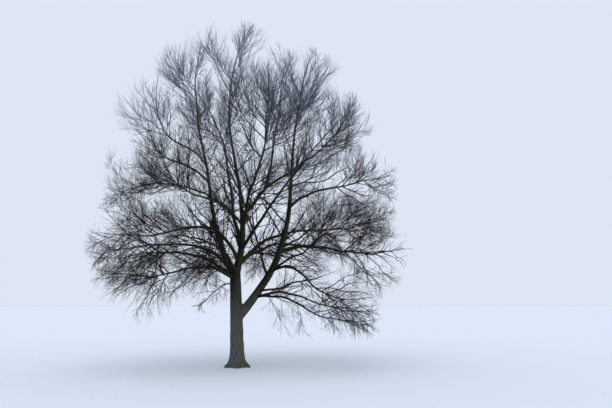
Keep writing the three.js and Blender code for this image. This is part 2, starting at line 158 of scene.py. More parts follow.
# Twigs that crowd are left out. For each order of twigs: the size of the cells that count them, and how many fit in
# one in the middle of the crown and at its skin. Fewer fit low down. A twig counts where COUNTED_SHARE of it ends.
CROWD_CELLS = [0.6, 0.34, 0.21, 0.16]
CROWD_INNER = [0.9, 0.7, 0.6, 0.5]
CROWD_OUTER = [1.4, 1.7, 1.8, 1.6]
CROWD_LOW_SHARE = 0.5
CROWD_LOW_HEIGHT = 3.2
CROWD_FULL_HEIGHT = 6.5
CROWN_MIDDLE = (0.75, 0.0, 8.6)
CROWN_HALF = (7.6, 6.9, 8.0)
INNER_SHARE = 0.4
OUTER_SHARE = 0.85
COUNTED_SHARE = 0.6

# Columns through the whole crown, by the two axes that are seen from the front and from the side, keep it even too
COLUMN_CELL = 0.5
COLUMN_LIMITS = {(0, 2): [5, 13, 50, 85], (1, 2): [6, 14, 52, 88]}

# Places that are denser or opener than even, as seen from the front: middle in x and z, size, and share of twigs
Patch = namedtuple("Patch", "x z size share")
PATCHES = [
    Patch(-3.4, 4.2, 2.0, 1.5),
    Patch(-5.0, 2.3, 1.5, 0.2),
    Patch(-0.9, 4.2, 1.0, 2.0),
    Patch(-6.6, 6.9, 1.3, 0.3),
    Patch(-4.1, 8.0, 1.0, 1.8),
    Patch(-2.2, 6.3, 1.0, 0.35),
    Patch(-5.8, 12.6, 1.3, 0.15),
    Patch(-2.0, 13.6, 1.0, 2.4),
    Patch(-0.1, 13.0, 1.1, 0.5),
    Patch(2.2, 13.4, 1.7, 0.45),
    Patch(4.5, 13.0, 1.0, 2.0),
    Patch(0.9, 6.4, 0.8, 0.5),
    Patch(0.8, 8.4, 1.4, 0.6),
    Patch(5.2, 9.6, 1.1, 2.6),
    Patch(6.3, 9.9, 0.9, 0.4),
    Patch(6.7, 7.9, 0.9, 1.3),
    Patch(3.8, 7.4, 1.0, 0.55),
    Patch(6.0, 6.2, 1.3, 1.5),
    Patch(2.4, 8.8, 0.9, 1.6),
    Patch(4.0, 5.2, 0.9, 1.5),
    Patch(5.0, 3.4, 1.5, 0.75),
]
PATCH_MOST_IN_CELL = 1.2

# Seeds, and the turn that draws each chance from a twig's seed
STEM_SEED = 77
SHOOT_SEED = 401
CHILD_TURNS = 1000
SWAY_TURNS = (0, 1)
SHARE_TURN = 0
SIDE_TURN = 1
FORK_TURN = 2
SIZE_TURN = 3
ROLL_TURN = 4
TONE_TURN = 7
RANK_TURN = 8
ROUND_TURN = 9

# Stems of the masses: radius at the tip beside the foot, rings and sides
STEM_TIP = 0.25
STEM_RINGS = 10
STEM_SIDES = 7

# How twigs leave their parent: between which shares of its length, towards which side, and at what fork in degrees
LAST_SHARE = 0.84
TIP_SHARE = 0.97
GOLDEN_SHARE = 0.618034
SHARE_SWING = 0.08
FIRST_FACE = 30
FACE_STEP = 120
FACE_SWING = 30
FORK_LEAST = 0.8
FORK_SWING = 0.4
TAPER_OF_LENGTH = 0.45

# The room that twigs keep. Those with a thinner foot than COARSE_FOOT may reach past their room by FINE_OVERLAP.
SHORTER_TRIES = [1, 0.75, 0.5]
ROOM_MARGIN = 0.025
COARSE_FOOT = 0.012
FINE_OVERLAP = 0.9
FINE_REACH = 0.25
LIMB_CLEARANCE = 0.04
GROUND_CLEARANCE = 1.25
CHECK_PIECES = 6
TOUCH_POINTS = 6

# How much twigs turn up: least at the height of the lowest boughs, most in the top
LOW_HEIGHT = 3.0
LOW_LIFT = -0.3
HIGH_HEIGHT = 11.0
HIGH_LIFT = 0.75

# Boughs: the step between their rings, the sides of a ring, and how knobbly they are
BOUGH_STEP = 0.05
BOUGH_SIDES = 12
BOUGH_KNOBS = 0.09

# Trunk and main limbs before they are fused, and the collars of the boughs on them: rings, how thick they are at the
# foot and at the end, and how long, beside the bough's radius. CARRY_LENGTH is for one that carries on from a tip.
CORE_SIDES = 40
CORE_STEP = 0.06
CORE_CROWDING = 1.5
COLLAR_RINGS = 12
COLLAR_FOOT = 1.45
COLLAR_END = 0.93
COLLAR_LENGTH = 3.2
CARRY_LENGTH = 6.5

# Fused skin: the size of its cells, and how forks are filled: how far off a second limb, in how many turns, how much
# in each, and at least how much elsewhere. SEARCH_STEPS is how finely the nearest limb is looked for.
FUSED_CELL = 0.023
FILLET = 0.07
FILLET_TURNS = 14
FILLET_PULL = 0.6
EVEN_OUT = 0.12
SEARCH_STEPS = 40

# Furrows along the wood: their size, depth and waves, and the lumps under them
FURROW_WIDTH = 0.055
FURROW_RUN = 0.34
FURROW_DEPTH = 0.012
FURROW_SHARPNESS = 0.2
FURROW_LEAST = 0.25
GRAIN_SHIFT = 5
GRAIN_WARP_RATE = 0.6
GRAIN_WARP = 0.8
LUMP_SIZE = 0.22
LUMP_DEPTH = 0.012

# Bark tones: those at the heights low and high, which blend in between, and the green of each on the upper right
# side.
# Streaks along the wood fall to a shade of the tone.
Bark = namedtuple("Bark", "low_tone high_tone low_green high_green low high")
TRUNK_BARK = Bark(
    (0.120, 0.134, 0.150), (0.014, 0.014, 0.013), (0.130, 0.130, 0.090), (0.055, 0.055, 0.032), 1.8, 4.0)
# The boughs' tone pales to blue-grey towards the top as painted mist haze
BOUGH_BARK = Bark(
    (0.014, 0.013, 0.011), (0.085, 0.093, 0.100), (0.058, 0.058, 0.030), (0.080, 0.082, 0.045), 6.0, 15.0)
ROUGHNESS = 0.94
SPECULAR = 0.06
STREAK_SCALE = 16.0
STREAK_STRETCH = (1, 1, 0.2)
STREAK_DETAIL = 6.0
STREAK_ROUGHNESS = 0.65
STREAK_STOPS = (0.3, 0.7)
LOW_SHADE = 0.45
SHADE = 0.5
BUMP_STRENGTH = 0.7
BUMP_DEPTH = 0.012

# Green lies in blotches, most on the upper right side: partly algae, and partly painted light, as that side is the
# lit one
ALGAE_AND_LIT_SIDE = (0.88, -0.38, 0.28)
BLOTCH_SCALE = 3.0
BLOTCH_SHARE = 1.4
GREEN_FROM = 0.75
GREEN_TO = 1.45

# The tones that sprays are dealt, from the lowest boughs to the top, and those that hang lowest are paler again. The
# pale bluish tones of the top are painted mist haze.
TWIG_TONES = [
    ((0.010, 0.007, 0.005), (0.034, 0.025, 0.019)),
    ((0.014, 0.011, 0.009), (0.046, 0.037, 0.032)),
    ((0.026, 0.025, 0.027), (0.070, 0.067, 0.070)),
    ((0.072, 0.081, 0.100), (0.142, 0.156, 0.187)),
    ((0.120, 0.138, 0.175), (0.208, 0.232, 0.282)),
]
TONE_LOW = 5.0
TONE_HIGH = 13.5
TONE_HANG = 5.0
TWIG_SCALE = 2.4
TWIG_DETAIL = 5.0
TWIG_STOPS = (0.34, 0.66)

# The colour sockets of a mix node
MIX_FIRST = 6
MIX_SECOND = 7
MIX_RESULT = 2

# The stage: floor, sky, one soft light, and the camera
FLOOR_SIZE = 900.0
FLOOR_COLOUR = (0.84, 0.87, 0.92)
SKY_COLOUR = (0.73, 0.79, 0.905)
SUN_AZIMUTH = 250
SUN_ELEVATION = 60
SUN_STRENGTH = 0.5
SUN_SOFTNESS = 60
SUN_COLOUR = (1.0, 0.99, 0.97)
CAMERA_LENS = 35
CAMERA_SENSOR = 36
CAMERA_PLACE = (-0.13, -28.6, 2.92)
CAMERA_YAW = 6.65
CAMERA_PITCH = 9.45
FAR_CLIP = 2000

UP = np.array([0.0, 0.0, 1.0])
TINY = 1e-12
ENDS_AND_MIDDLE = [0.0, 0.5, 1.0]
MASK = np.uint64(0xFFFFFFFF)
HASH_A, HASH_B, HASH_C = np.uint64(0x9E3779B1), np.uint64(0x85EBCA6B), np.uint64(0xC2B2AE35)


# Chances


def mixed(seed, turn):
    """A whole number below 2 ** 32 that a seed and a turn always give again."""
    turn = np.asarray(turn).astype(np.uint64)
    h = ((seed ^ ((turn + np.uint64(1)) * HASH_A & MASK)) * HASH_B) & MASK
    h = ((h ^ (h >> np.uint64(13))) * HASH_C) & MASK
    return h ^ (h >> np.uint64(16))


def chance(seed, turn):
    """A share from 0 to 1 that a seed and a turn always give again."""
    return mixed(seed, turn) / 2.0**32


def child_seed(seed, index):
    return mixed(seed, CHILD_TURNS + np.asarray(index))


def seeds(*numbers):
    return np.array(numbers, dtype=np.uint64)


# Vectors and curves


def unit(vectors):
    return vectors / np.maximum(np.linalg.norm(vectors, axis=-1, keepdims=True), TINY)


def dot(a, b):
    return np.sum(a * b, axis=-1, keepdims=True)


def outward(azimuth):
    return np.array([math.cos(math.radians(azimuth)), math.sin(math.radians(azimuth)), 0.0])


class Bows:
    """Curves side by side: each bows from foot to tip, with a small wander that leaves both ends as they are."""

    def __init__(self, start, control, tip, seed, wander=WANDER):
        self.start, self.control, self.tip, self.seed, self.wander = start, control, tip, seed, wander
        self.span = np.linalg.norm(tip - start, axis=-1)
        self.side = unit(np.cross(tip - start, UP))
        self.phases = [2 * np.pi * chance(seed, turn)[:, None, None] for turn in SWAY_TURNS]

    def take(self, which):
        return Bows(self.start[which], self.control[which], self.tip[which], self.seed[which], self.wander)

    def points(self, share):
        """Places at shares of the length. share has a row for each curve, or one row for them all."""
        s = np.broadcast_to(share, (len(self.start), np.shape(share)[-1]))[..., None]
        bow = (1 - s) ** 2 * self.start[:, None] + 2 * s * (1 - s) * self.control[:, None]
        bow = bow + s**2 * self.tip[:, None]
        fade = self.wander * self.span[:, None, None] * np.sin(np.pi * s) ** 2
        aside, upward = (np.sin(turns * s + phase) for turns, phase in zip(SWAYS, self.phases))
        return bow + fade * (aside * self.side[:, None] + upward * UP)

    def tangents(self, share):
        share = np.asarray(share, dtype=float)
        ahead, behind = np.minimum(share + TANGENT_STEP, 1), np.maximum(share - TANGENT_STEP, 0)
        return unit(self.points(ahead) - self.points(behind))


class TrunkBow(Bows):
    """The trunk leans a little, and its rings stay level."""

    def tangents(self, share):
        return np.broadcast_to(UP, (1, np.shape(share)[-1], 3))


def square_to(bows, share, roll):
    """Two directions square to each curve. The first leans to +Y on upright curves and to +Z on others."""
    upright = np.abs(bows.tangents(np.zeros(1))[:, :, 2:]) >= UPRIGHT
    lean = np.where(upright, np.array([0.0, 1.0, 0.0]), UP)
    along = bows.tangents(share)
    side = unit(lean - along * dot(along, lean))
    roll = np.reshape(roll, (-1, 1, 1))
    side = side * np.cos(roll) + np.cross(along, side) * np.sin(roll)
    return along, side, np.cross(side, along)


def grow_from(bows, at, azimuth, reach, rise, sag, seed):
    """The curve of a limb or stem that starts from a share of its parent's length."""
    start = bows.points([at])[0]
    tip = start + outward(azimuth) * reach + UP * rise
    span = np.linalg.norm(tip - start)
    if at == 1:
        control = start + bows.tangents([1.0])[0] * CARRY_ON * span
    else:
        control = (start + tip) / 2 + outward(azimuth) * (2 * sag * rise / span) - UP * (2 * sag * reach / span)
    return Bows(start, control, tip, seeds(seed))


# Trunk, limbs and the stems of the masses


class Branch:
    """One limb or stem: its curve, and its radius at shares of its length."""

    def __init__(self, name, bows, radius_at, azimuth=0, row=None):
        self.name, self.bows, self.radius_at, self.azimuth, self.row = name, bows, radius_at, azimuth, row
        self.span = float(bows.span[0])

    def place(self, share):
        return self.bows.points(np.array([share]))[0, 0]


def make_trunk():
    """The trunk, with a root flare that stands out in toes."""
    start = np.zeros((1, 3))
    tip = np.array([[TRUNK_LEAN_AT_FORK, 0, TRUNK_FORK_HEIGHT]])
    control = np.array([[2 * TRUNK_MIDDLE_LEAN - TRUNK_LEAN_AT_FORK / 2, 0, TRUNK_FORK_HEIGHT / 2]])
    taper = (BREAST_RADIUS - FORK_RADIUS) / (TRUNK_FORK_HEIGHT - BREAST_HEIGHT)

    def radius_at(share, angle=0.0):
        height = share * TRUNK_FORK_HEIGHT
        toe = 1 - TOE_DEPTH + TOE_DEPTH * np.cos(TOES * angle)
        return BREAST_RADIUS + taper * (BREAST_HEIGHT - height) + FLARE * np.exp(-height / FLARE_HEIGHT) * toe

    return Branch("trunk", TrunkBow(start, control, tip, seeds(0), 0.0), radius_at)


def make_limb(row, parent, seed):
    bows = grow_from(parent.bows, row.at, row.azimuth, row.reach, row.rise, row.sag, seed)
    span = float(bows.span[0])
    collar = 0 if row.at == 1 else COLLAR

    def radius_at(share, angle=0.0):
        swell = collar * np.exp(-share * span / (COLLAR_SPREAD * row.foot))
        return row.foot * (1 + swell) + (row.end - row.foot) * share

    return Branch(row.name, bows, radius_at, row.azimuth, row)


def make_stem(limb, seed):
    twigs = limb.row.twigs
    bows = grow_from(limb.bows, 1, limb.azimuth + twigs.turn, twigs.reach, twigs.rise, 0, seed)
    foot = float(limb.radius_at(1.0))
    stem = Branch(limb.name, bows, lambda share: foot * (1 - (1 - STEM_TIP) * share))
    stem.foot, stem.room, stem.centre, stem.limb = foot, twigs.room, stem.place(0.5), limb
    return stem


# Twigs and the room they keep


class Wood:
    """Twigs side by side: their curves, radii, seeds and tones."""

    def __init__(self, bows, foot, loss, roll, length, tone, coarse=None):
        self.bows, self.foot, self.loss = bows, foot, loss
        self.roll, self.length, self.tone, self.coarse = roll, length, tone, coarse

    def take(self, which):
        return Wood(self.bows.take(which), self.foot[which], self.loss, self.roll[which], self.length[which],
                    self.tone[which], self.coarse[which])

    def radius_at(self, share):
        return self.foot[:, None] * (1 - self.loss * share)


def in_reach(spots):
    """True for places clear of the ground and inside the reach of the whole tree."""
    low, high = np.array(cad_box[0]) - FINE_REACH, np.array(cad_box[1]) + FINE_REACH
    return (spots[..., 2] >= GROUND_CLEARANCE) & (spots >= low).all(axis=-1) & (spots <= high).all(axis=-1)


class Room:
    """The space of one mass: near its centre, nearer to that than to any other, and clear of limbs."""

    def __init__(self, stem, stems, branches):
        self.centre, self.radius = stem.centre, stem.room
        self.others = [(other.centre, other.room) for other in stems if other is not stem]
        near = [branch for branch in branches + stems if branch is not stem]
        shares = np.arange(CHECK_PIECES + 1) / CHECK_PIECES
        ends = [branch.bows.points(shares)[0] for branch in near]
        self.feet = np.concatenate([spots[:-1] for spots in ends])
        self.runs = np.concatenate([spots[1:] - spots[:-1] for spots in ends])
        self.girths = np.concatenate([branch.radius_at(shares[:-1]) for branch in near])
        reach = np.linalg.norm(self.feet + self.runs / 2 - self.centre, axis=1)
        close = reach < self.radius + np.linalg.norm(self.runs, axis=1)
        self.feet, self.runs, self.girths = self.feet[close], self.runs[close], self.girths[close]

    def holds(self, spots, foot):
        """True where a row of spots stays in the room and in reach."""
        own = np.linalg.norm(spots - self.centre, axis=-1)
        margin = np.where(foot > COARSE_FOOT, foot + ROOM_MARGIN, -FINE_OVERLAP)[:, None]
        inside = own <= self.radius - (foot + ROOM_MARGIN)[:, None]
        for other, radius in self.others:
            inside |= (np.linalg.norm(spots - other, axis=-1) < radius) & (own <= self.radius - margin)
        inside &= in_reach(spots)
        for other, _ in self.others:
            apart = np.linalg.norm(other - self.centre)
            offset = (np.linalg.norm(spots - other, axis=-1) ** 2 - own**2) / (2 * apart)
            inside &= offset > margin
        return inside.all(axis=1)

    def clear(self, spots, foot):
        """True where a row of spots stays clear of all limbs and other stems."""
        free = np.ones(len(spots), dtype=bool)
        lengths = np.maximum(np.sum(self.runs**2, axis=1), TINY)
        for column in range(spots.shape[1]):
            offset = spots[:, column, None] - self.feet
            share = np.clip(np.sum(offset * self.runs, axis=-1) / lengths, 0, 1)
            away = np.linalg.norm(offset - share[..., None] * self.runs, axis=-1)
            free &= (away >= self.girths + foot[:, None] + LIMB_CLEARANCE).all(axis=1)
        return free

    def fits(self, bows, foot):
        """True for twigs that the room holds and that touch nothing."""
        ok = self.holds(bows.points(ENDS_AND_MIDDLE), foot)
        if ok.any():
            shares = np.arange(TOUCH_POINTS + 1) / TOUCH_POINTS
            ok[ok] = self.clear(bows.take(ok).points(shares), foot[ok])
        return ok


def spring_from(start, way, length, lift, seed, wander):
    """Curves that set out one way and turn up or down by the lift."""
    tip = start + way * length + UP * length * lift / 2
    return Bows(start, start + way * length / 2, tip, seed, wander)


def shorten_to_fit(start, way, whole, foot, coarse, seed, spray, lift, fits):
    """The length at which each twig fits. Only coarse ones are tried shorter, and one that never fits gets none."""
    length = np.zeros(len(whole))
    for shorter in SHORTER_TRIES:
        left = np.flatnonzero((length == 0) & (coarse | (shorter == 1)))
        if len(left) == 0:
            break
        tried = whole[left, None] * shorter
        ok = fits(spring_from(start[left], way[left], tried, lift, seed[left], spray.wander), foot[left])
        length[left[ok]] = tried[ok, 0]
    return length


def twigs_from(parent, spray, lift, fits):
    """The twigs that leave every piece of the parent wood, each with its own seed."""
    pieces = len(parent.foot)
    which = np.repeat(np.arange(pieces), spray.count)
    index = np.tile(np.arange(spray.count), pieces)
    coarse = index < spray.coarse
    seed = child_seed(parent.bows.seed[which], index)
    golden = ((index + 0.5) * GOLDEN_SHARE + SHARE_SWING * chance(seed, SHARE_TURN)) % 1
    share = spray.first + (np.where(coarse, LAST_SHARE, TIP_SHARE) - spray.first) * golden
    bows = parent.bows.take(which)
    start = bows.points(share[:, None])[:, 0]
    radius = parent.foot[which] * (1 - parent.loss * share)
    face = np.radians(FIRST_FACE + index * FACE_STEP + FACE_SWING * (chance(seed, SIDE_TURN) - 0.5))[:, None]
    fork = np.radians(spray.fork * (FORK_LEAST + FORK_SWING * chance(seed, FORK_TURN)))[:, None]
    along, side, across = (v[:, 0] for v in square_to(bows, share[:, None], parent.roll[which]))
    way = along * np.cos(fork) + np.sin(fork) * (side * np.cos(face) + across * np.sin(face))
    size = 1 - spray.spread + 2 * spray.spread * chance(seed, SIZE_TURN)
    whole = parent.length[which] * spray.length * (1 - TAPER_OF_LENGTH * share) * size
    foot = np.minimum(np.maximum(radius * spray.girth, spray.least), radius)
    length = shorten_to_fit(start, way, whole, foot, coarse, seed, spray, lift, fits)
    kept = length > 0
    grown = spring_from(start[kept], way[kept], length[kept, None], lift, seed[kept], spray.wander)
    roll = 2 * np.pi * chance(seed[kept], ROLL_TURN)
    return Wood(grown, foot[kept], spray.loss, roll, length[kept], parent.tone[which[kept]], coarse[kept])


# Crowding


def patchiness(spots):
    """How many twigs each spot may have beside an even crown."""
    share = np.ones(len(spots))
    for patch in PATCHES:
        away = np.hypot(spots[:, 0] - patch.x, spots[:, 2] - patch.z) / patch.size
        share *= 1 + (patch.share - 1) * np.exp(-(away**2))
    return share


def cell_limit(spots, level):
    """How many twigs fit in a cell at each spot: more at the skin of the crown, fewer low down."""
    depth = np.linalg.norm((spots - CROWN_MIDDLE) / CROWN_HALF, axis=1)
    skin = np.clip((depth - INNER_SHARE) / (OUTER_SHARE - INNER_SHARE), 0, 1)
    high = np.clip((spots[:, 2] - CROWD_LOW_HEIGHT) / (CROWD_FULL_HEIGHT - CROWD_LOW_HEIGHT), 0, 1)
    limit = CROWD_INNER[level] + (CROWD_OUTER[level] - CROWD_INNER[level]) * skin
    return limit * (CROWD_LOW_SHARE + (1 - CROWD_LOW_SHARE) * high)


def rank_in_place(wood, place, kept):
    """The number of each twig among those in the same place. Kept ones come first, and coarse ones before fine."""
    order = np.lexsort((chance(wood.bows.seed, RANK_TURN), ~wood.coarse, ~kept, place))
    ranked = place[order]
    first = np.concatenate([[True], ranked[1:] != ranked[:-1]])
    start = np.maximum.accumulate(np.where(first, np.arange(len(ranked)), 0))
    rank = np.empty(len(ranked), dtype=int)
    rank[order] = np.arange(len(ranked)) - start
    return rank


class Crowd:
    """Counts the twigs of each order all through the crown, so that fine ones never crowd together."""

    def __init__(self):
        self.low = np.array(cad_box[0]) - 1
        self.span = np.array(cad_box[1]) + 1 - self.low
        self.counts = {}

    def count_places(self, spots, level, axes, cell):
        """The cell or column of each spot, and the twigs counted so far in all of them."""
        axes = list(axes)
        grid = (self.span[axes] // cell + 1).astype(int)
        place = np.ravel_multi_index(((spots[:, axes] - self.low[axes]) // cell).astype(int).T, grid)
        return place, self.counts.setdefault((level, *axes), np.zeros(grid.prod(), dtype=int))

    def thin_out(self, wood, level):
        """The coarse twigs, and those fine ones that find room in their cell and in both their columns."""
        spots = wood.bows.points([COUNTED_SHARE])[:, 0]
        patchy = patchiness(spots)
        fitting = cell_limit(spots, level) * np.minimum(patchy, PATCH_MOST_IN_CELL)
        limits = [((0, 1, 2), CROWD_CELLS[level], np.floor(fitting + chance(wood.bows.seed, ROUND_TURN)))]
        limits += [(axes, COLUMN_CELL, columns[level] * patchy) for axes, columns in COLUMN_LIMITS.items()]
        kept = np.ones(len(spots), dtype=bool)
        counted = []
        for axes, cell, limit in limits:
            place, counts = self.count_places(spots, level, axes, cell)
            kept = wood.coarse | (kept & (counts[place] + rank_in_place(wood, place, kept) < limit))
            counted.append((place, counts))
        for place, counts in counted:
            np.add.at(counts, place[kept], 1)
        return wood.take(kept)


# Meshes and pieces


def tube_faces(rings, sides, pointed):
    """The triangles of one closed tube whose vertices run ring by ring, then the tip of a pointed one."""
    faces = [(0, i, i + 1) for i in range(1, sides - 1)]
    for ring in range(rings - 1 if pointed else rings):
        for i in range(sides):
            a, b = ring * sides + i, ring * sides + (i + 1) % sides
            faces += [(a, a + sides, b + sides), (a, b + sides, b)]
    last = (rings - 1 if pointed else rings) * sides
    if pointed:
        faces += [(last + i, rings * sides, last + (i + 1) % sides) for i in range(sides)]
    else:
        faces += [(last, last + i + 1, last + i) for i in range(1, sides - 1)]
    return np.array(faces)


def tubes(bows, radius, roll, sides, rings, pointed=False, shares=None):
    """Vertices and triangles of closed tubes along curves. radius has a row for each curve, or a grid of one."""
    shares = np.linspace(0, 1, rings + 1) if shares is None else shares
    _, side, across = square_to(bows, shares, roll)
    angle = 2 * np.pi * np.arange(sides) / sides
    spread = side[:, :, None] * np.cos(angle)[:, None] + across[:, :, None] * np.sin(angle)[:, None]
    radius = radius if radius.ndim == 3 else radius[..., None]
    spots = bows.points(shares)[:, :, None] + spread * radius[..., None]
    count = len(bows.start)
    if pointed:
        body = spots[:, :-1].reshape(count, -1, 3)
        vertices = np.concatenate([body, bows.tip[:, None]], axis=1)
    else:
        vertices = spots.reshape(count, -1, 3)
    faces = tube_faces(rings, sides, pointed)
    offset = np.arange(count)[:, None, None] * vertices.shape[1]
    return vertices.reshape(-1, 3), (faces[None] + offset).reshape(-1, 3), len(faces)


def make_mesh(name, vertices, faces, tones=None):
    mesh = bpy.data.meshes.new(name)
    mesh.vertices.add(len(vertices))
    mesh.vertices.foreach_set("co", vertices.astype(np.float32).ravel())
    mesh.loops.add(faces.size)
    mesh.loops.foreach_set("vertex_index", faces.astype(np.int32).ravel())
    mesh.polygons.add(len(faces))
    mesh.polygons.foreach_set("loop_start", np.arange(0, faces.size, faces.shape[1], dtype=np.int32))
    if tones is not None:
        mesh.polygons.foreach_set("material_index", tones.astype(np.int32))
    mesh.polygons.foreach_set("use_smooth", np.ones(len(faces), dtype=bool))
    mesh.update(calc_edges=True)
    mesh.validate()
    return mesh


def add_piece(name, mesh, materials, slot, *nodes):
    piece = bpy.data.objects.new(name, mesh)
    bpy.context.scene.collection.objects.link(piece)
    for material in materials:
        mesh.materials.append(material)
    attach(piece, "root")
    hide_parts(*nodes)


# Sprays and shoots


def lift_at(height):
    """How much twigs turn up at a height."""
    share = min(max((height - LOW_HEIGHT) / (HIGH_HEIGHT - LOW_HEIGHT), 0), 1)
    return LOW_LIFT + (HIGH_LIFT - LOW_LIFT) * share


def tone_at(wood):
    """The tone that each spray is dealt by its height, now and then one lower or higher. The paler tones high up are
    painted mist haze.
    """
    height = (wood.bows.tip[:, 2] + wood.bows.start[:, 2]) / 2
    above, below = (height - TONE_LOW) / (TONE_HIGH - TONE_LOW), (TONE_LOW - height) / TONE_HANG
    share = np.clip(np.maximum(above, below), 0, 1)
    last = len(TWIG_TONES) - 1
    return np.clip(np.round(share * last + chance(wood.bows.seed, TONE_TURN) - 0.5), 0, last)


def grow_sprays(wood, sprays, lift, fits, crowd):
    """Sprays on sprays, as lists of vertices, triangles and tones."""
    parts = []
    for level, spray in enumerate(sprays):
        wood = twigs_from(wood, spray, lift, fits)
        if level == 0:
            wood.tone = tone_at(wood)
        if len(wood.foot):
            wood = crowd.thin_out(wood, level)
        if len(wood.foot) == 0:
            break
        shares = np.linspace(0, 1, spray.rings + 1)
        vertices, faces, each = tubes(
            wood.bows, wood.radius_at(shares), wood.roll, spray.sides, spray.rings, pointed=True)
        parts.append((vertices, faces, np.repeat(wood.tone, each)))
    return parts


def join_parts(parts):
    offsets = np.cumsum([0] + [len(vertices) for vertices, _, _ in parts[:-1]])
    vertices = np.concatenate([part[0] for part in parts])
    faces = np.concatenate([part[1] + offset for part, offset in zip(parts, offsets)])
    return vertices, faces, np.concatenate([part[2] for part in parts])


def stem_wood(stem):
    one = np.ones(1)
    return Wood(stem.bows, one * stem.foot, 1 - STEM_TIP, 0 * one, one * stem.span, 0 * one)


def limb_wood(limb):
    """A limb as the parent of its side shoots."""
    one = np.ones(1)
    row = limb.row
    bows = Bows(limb.bows.start, limb.bows.control, limb.bows.tip, child_seed(limb.bows.seed, SHOOT_SEED))
    bows.phases = limb.bows.phases
    return Wood(bows, one * row.foot, 1 - row.end / row.foot, one, one * limb.span, 0 * one)


def within_reach(bows, foot):
    return in_reach(bows.points(ENDS_AND_MIDDLE)).all(axis=1)


def make_mass(stem, stems, branches, materials, crowd):
    """The twigs at a bough's tip and the shoots along it, as one piece."""
    limb = stem.limb
    shares = np.linspace(0, 1, STEM_RINGS + 1)
    vertices, faces, _ = tubes(
        stem.bows, stem.radius_at(shares)[None], np.zeros(1), STEM_SIDES, STEM_RINGS, pointed=True)
    parts = [(vertices, faces, np.full(len(faces), len(TWIG_TONES)))]
    first = SPRAYS[0]
    count = max(first.coarse, round(first.count * stem.room / FULL_ROOM))
    sprays = [first._replace(count=count)] + SPRAYS[1:]
    room = Room(stem, stems, branches)
    parts += grow_sprays(stem_wood(stem), sprays, lift_at(stem.centre[2]), room.fits, crowd)
    parts += grow_sprays(limb_wood(limb), SHOOTS, lift_at(limb.place(SHOOT_MIDDLE)[2]), within_reach, crowd)
    mesh = make_mesh(f"{limb.name}_sprays", *join_parts(parts))
    slots = {part["node"]: part["material_slot"] for part in frame["record"]["subparts"]}
    node = f"{limb.name}_twigs"
    add_piece(f"{limb.name}_sprays", mesh, materials, slots[node], node)


def make_inner_shoots(limbs, materials, crowd):
    """The shoots along the main limbs, as one piece."""
    parts = []
    for limb in limbs:
        sprays = [SHOOTS[0]._replace(count=INNER_SHOOTS[limb.name])] + SHOOTS[1:]
        parts += grow_sprays(limb_wood(limb), sprays, INNER_LIFT, within_reach, crowd)
    add_piece("inner_shoots", make_mesh("inner_shoots", *join_parts(parts)), materials, "low_twigs")


# Bark of the boughs, and of trunk and main limbs


def make_boughs(boughs, material):
    """The boughs past their collars, tapering and a little knobbly, as one piece."""
    parts = []
    for limb in boughs:
        rings = int(limb.span / BOUGH_STEP)
        shares = np.linspace(0, 1, rings + 1)
        vertices, faces, _ = tubes(
            limb.bows, limb.radius_at(shares)[None], np.zeros(1), BOUGH_SIDES, rings, shares=shares)
        knob = np.array([noise.noise(Vector(spot) / LUMP_SIZE) for spot in vertices])
        axis = np.repeat(limb.bows.points(shares)[0], BOUGH_SIDES, axis=0)
        vertices = axis + (vertices - axis) * (1 + BOUGH_KNOBS * knob[:, None])
        parts.append((vertices, faces, np.zeros(len(faces))))
    mesh = make_mesh("bough_bark", *join_parts(parts))
    add_piece("bough_bark", mesh, [material], "limb_bark", *[limb.name for limb in boughs])


def core_tube(limb, shares, radius):
    vertices, faces, _ = tubes(limb.bows, radius[None], np.zeros(1), CORE_SIDES, len(shares) - 1, shares=shares)
    return vertices, faces, np.zeros(len(faces))


def collar_tube(limb, parent):
    """The foot of a bough that widens into its parent, and the share of its length where that ends."""
    carries_on = limb.row.at == 1
    wide = float(parent.radius_at(1.0)) if carries_on else COLLAR_FOOT * limb.row.foot
    narrow = COLLAR_END * limb.row.foot
    until = (CARRY_LENGTH if carries_on else COLLAR_LENGTH) * limb.row.foot / limb.span
    shares = np.linspace(0, until, COLLAR_RINGS + 1)
    radius = narrow + (wide - narrow) * (1 - shares / until) ** 2
    return core_tube(limb, shares, radius), until


def make_trunk_bark(trunk, branches, material):
    """Trunk and main limbs fused in one skin, with filled forks and furrows along the wood."""
    core = {limb.name: limb for limb in [trunk] + branches if limb is trunk or limb.name in MAIN_LIMBS}
    angle = 2 * np.pi * np.arange(CORE_SIDES) / CORE_SIDES
    parts, skeleton = [], []
    for limb in core.values():
        shares = np.linspace(0, 1, int(limb.span / CORE_STEP) + 1) ** (CORE_CROWDING if limb is trunk else 1)
        parts.append(core_tube(limb, shares, limb.radius_at(shares[:, None], angle[None])))
        skeleton.append((limb, 1.0))
    for limb in branches:
        if limb.name not in core and limb.row.parent in core:
            part, until = collar_tube(limb, core[limb.row.parent])
            parts.append(part)
            skeleton.append((limb, until))
    vertices, faces, _ = join_parts(parts)
    skin = fuse(make_mesh("trunk_rough", vertices, faces))
    carve(skin, skeleton)
    add_piece("trunk_bark", skin, [material], "trunk_bark", "trunk", *MAIN_LIMBS)


def fuse(mesh):
    """One skin round everything in the mesh, made of even cells."""
    holder = bpy.data.objects.new("fusing", mesh)
    bpy.context.scene.collection.objects.link(holder)
    remesh = holder.modifiers.new("fuse", "REMESH")
    remesh.mode = "VOXEL"
    remesh.voxel_size = FUSED_CELL
    evaluated = holder.evaluated_get(bpy.context.evaluated_depsgraph_get())
    skin = bpy.data.meshes.new_from_object(evaluated)
    skin.name = "trunk_bark"
    bpy.data.objects.remove(holder)
    bpy.data.meshes.remove(mesh)
    return skin


